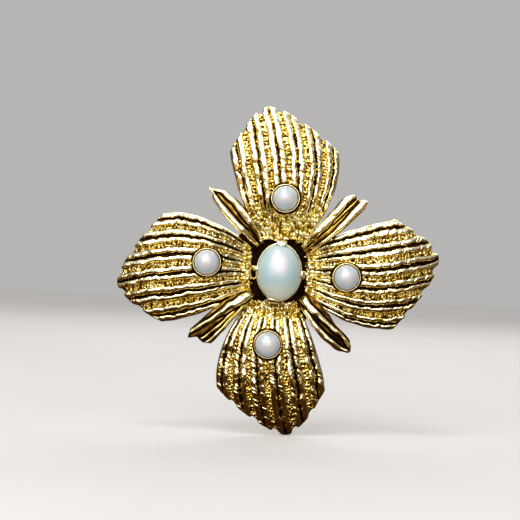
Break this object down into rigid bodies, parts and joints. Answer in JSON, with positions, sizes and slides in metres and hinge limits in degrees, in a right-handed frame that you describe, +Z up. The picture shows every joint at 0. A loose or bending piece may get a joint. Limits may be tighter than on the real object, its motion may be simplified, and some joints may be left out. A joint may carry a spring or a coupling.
{
  "type": "flower brooch",
  "caption": "Four-petalled flower brooch in ribbed gold-tone metal with imitation pearls, an oval centre stone and a hinged pin in a rolling catch.",
  "frame": {"origin": "middle of the backing plate's rear face, which lies against the garment", "axes": "+Y is the rear face's outward normal, into the garment, so the flower faces -Y; +Z is up as worn; +X is to the right seen from the front"},
  "size_m": [0.0563, 0.0128, 0.0573],
  "materials": {
    "cast_gold": "bright gold plate over a textured casting, darkened in the recesses",
    "polished_gold": "polished gold plate, darkened in the troughs",
    "antiqued_gold": "dark antiqued gold plate",
    "plated_findings": "satin gold plate",
    "pin_wire": "gold-plated spring wire",
    "imitation_pearl": "satin nacre coating",
    "pearlescent_stone": "polished pale aqua with a pearly sheen"
  },
  "bodies": {
    "flower": {"back_plate": "antiqued_gold", "petal_top": "cast_gold", "petal_right": "cast_gold", "petal_bottom": "cast_gold", "petal_left": "cast_gold", "leaf_upper_right": "polished_gold", "leaf_lower_right": "polished_gold", "leaf_lower_left": "polished_gold", "leaf_upper_left": "polished_gold", "pearl_cup_top": "polished_gold", "pearl_cup_right": "polished_gold", "pearl_cup_bottom": "polished_gold", "pearl_cup_left": "polished_gold", "pearl_top": "imitation_pearl", "pearl_right": "imitation_pearl", "pearl_bottom": "imitation_pearl", "pearl_left": "imitation_pearl", "centre_setting": "polished_gold", "centre_cabochon": "pearlescent_stone", "pin_bar": "plated_findings", "hinge_rivet": "plated_findings", "catch_housing": "plated_findings"},
    "pin": {"pin_stem": "pin_wire"},
    "catch": {"catch_rotor": "plated_findings"}
  },
  "joints": [
    {"name": "pin_hinge", "type": "hinge", "parent": "flower", "child": "pin", "pos_m": [-0.015, 0.0027, 0.005], "axis": [0, 0, 1], "range_deg": [0, 95]},
    {"name": "catch_roll", "type": "hinge", "parent": "flower", "child": "catch", "pos_m": [0.0136, 0.0027, 0.005], "axis": [1, 0, 0], "range_deg": [0, 110]}
  ]
}
